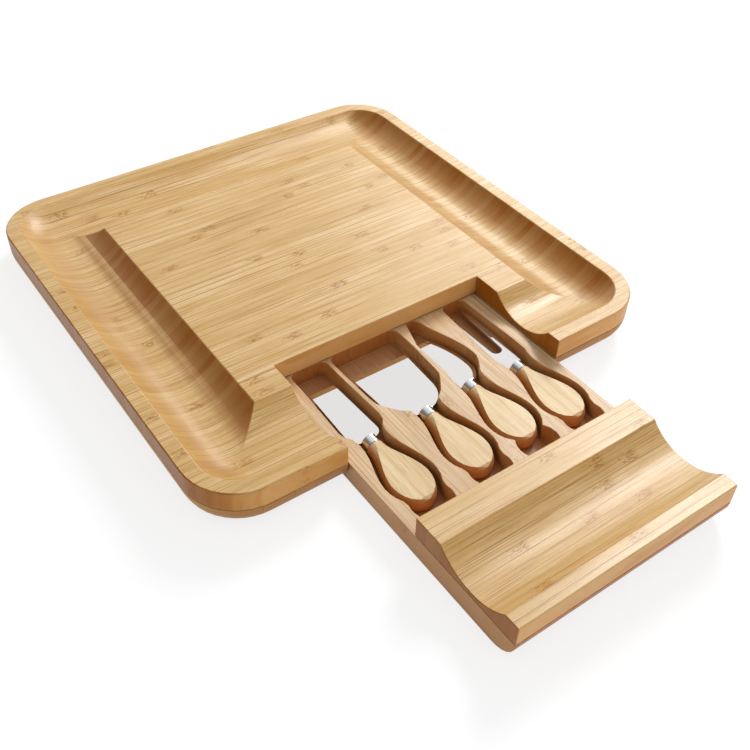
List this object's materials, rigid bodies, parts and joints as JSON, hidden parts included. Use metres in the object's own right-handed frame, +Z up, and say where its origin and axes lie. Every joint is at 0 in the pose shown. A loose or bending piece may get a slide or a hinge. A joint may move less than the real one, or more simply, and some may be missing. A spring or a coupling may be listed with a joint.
{
  "type": "cheese board with drawer",
  "caption": "Square bamboo serving board with a dished moat round a raised platform, and a front drawer whose shaped pockets hold cheese knives and a fork.",
  "frame": {"origin": "on the table, under the middle of the whole object with its drawer open", "axes": "+Z up, -Y the way the drawer opens, +X to the right when facing the drawer"},
  "size_m": [0.33, 0.4708, 0.0304],
  "materials": {
    "bamboo_top": "satin oiled bamboo, honey coloured, grain left to right",
    "bamboo_base": "satin oiled bamboo, grain front to back",
    "bamboo_tray": "satin bamboo, paler, grain front to back",
    "pin_wood": "plain turned dowel",
    "handle_wood": "smooth pale wood, grain along the handle",
    "blade_steel": "finely polished stainless steel",
    "ferrule_steel": "bright polished stainless steel"
  },
  "bodies": {
    "board": {"top_board": "bamboo_top", "base_left": "bamboo_base", "base_right": "bamboo_base", "base_rear": "bamboo_base"},
    "drawer": {"drawer_tray": "bamboo_tray", "drawer_front": "bamboo_top", "guide_pin_left": "pin_wood", "guide_pin_right": "pin_wood"},
    "flat_knife": {"flat_knife_blade": "blade_steel", "flat_knife_ferrule": "ferrule_steel", "flat_knife_handle": "handle_wood"},
    "spade_knife": {"spade_knife_blade": "blade_steel", "spade_knife_ferrule": "ferrule_steel", "spade_knife_handle": "handle_wood"},
    "belly_knife": {"belly_knife_blade": "blade_steel", "belly_knife_ferrule": "ferrule_steel", "belly_knife_handle": "handle_wood"},
    "fork": {"fork_blade": "blade_steel", "fork_ferrule": "ferrule_steel", "fork_handle": "handle_wood"}
  },
  "joints": [
    {"name": "drawer_slide", "type": "slide", "parent": "board", "child": "drawer", "axis": [0, -1, 0], "range_m": [-0.1409, 0]},
    {"name": "flat_knife_lift", "type": "slide", "parent": "drawer", "child": "flat_knife", "axis": [0, 0, 1], "range_m": [0, 0.05]},
    {"name": "spade_knife_lift", "type": "slide", "parent": "drawer", "child": "spade_knife", "axis": [0, 0, 1], "range_m": [0, 0.05]},
    {"name": "belly_knife_lift", "type": "slide", "parent": "drawer", "child": "belly_knife", "axis": [0, 0, 1], "range_m": [0, 0.05]},
    {"name": "fork_lift", "type": "slide", "parent": "drawer", "child": "fork", "axis": [0, 0, 1], "range_m": [0, 0.05]}
  ]
}
